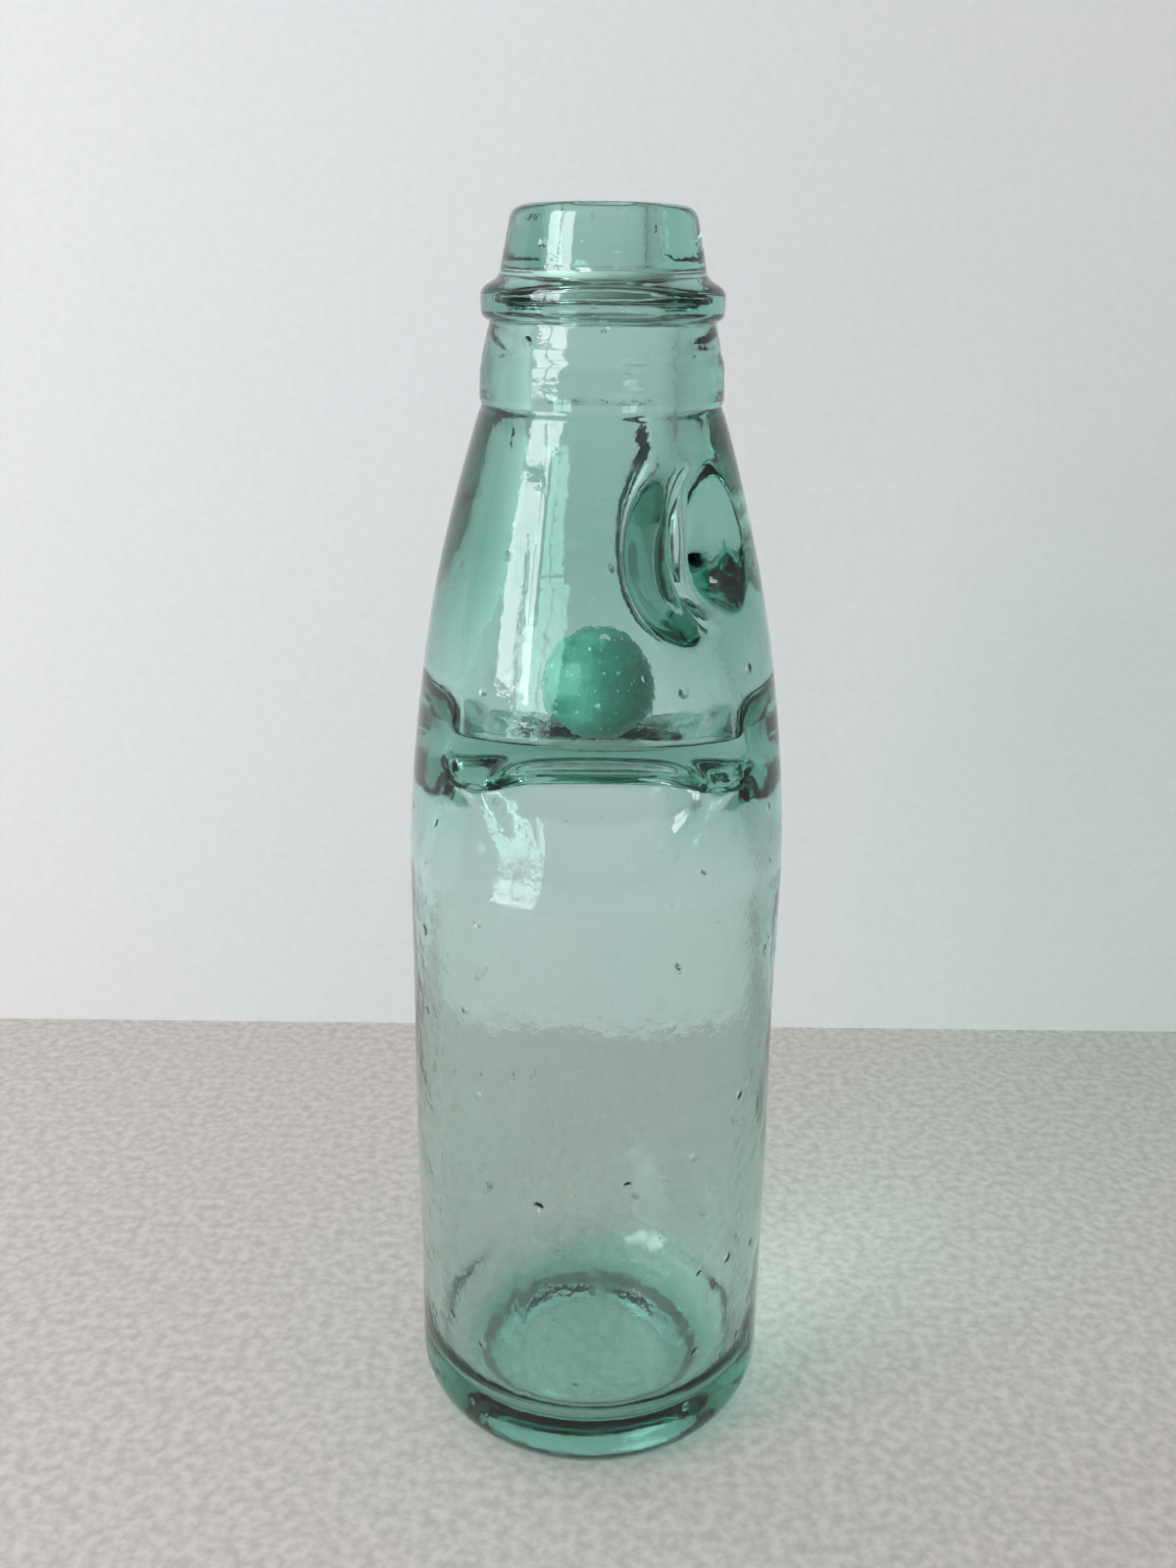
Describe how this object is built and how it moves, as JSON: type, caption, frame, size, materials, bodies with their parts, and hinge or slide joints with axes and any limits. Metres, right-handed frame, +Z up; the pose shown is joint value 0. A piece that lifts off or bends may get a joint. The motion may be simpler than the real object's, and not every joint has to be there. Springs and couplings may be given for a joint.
{
  "type": "marble stopper bottle",
  "caption": "Tall pressed glass bottle with a pinched waist, a loose glass marble that seals it from inside, and a rubber ring in the lip.",
  "frame": {"origin": "centre of the ring on which the bottle stands", "axes": "+Z up along the bottle's axis to the mouth; the pinch's dents face -Y and +Y; the lugs lie on the +X side"},
  "size_m": [0.07, 0.07, 0.231],
  "materials": {
    "bottle_glass": "fire-polished aqua-green glass with bubbles and mould marks",
    "marble_glass": "worn, slightly frosted green glass",
    "ring_rubber": "pale soft rubber"
  },
  "bodies": {
    "bottle": {"glass_bottle": "bottle_glass", "sealing_ring": "ring_rubber"},
    "marble": {"marble": "marble_glass"}
  },
  "joints": [
    {"name": "marble_lift", "type": "slide", "parent": "bottle", "child": "marble", "axis": [0, 0, 1], "range_m": [0, 0.0577]}
  ]
}
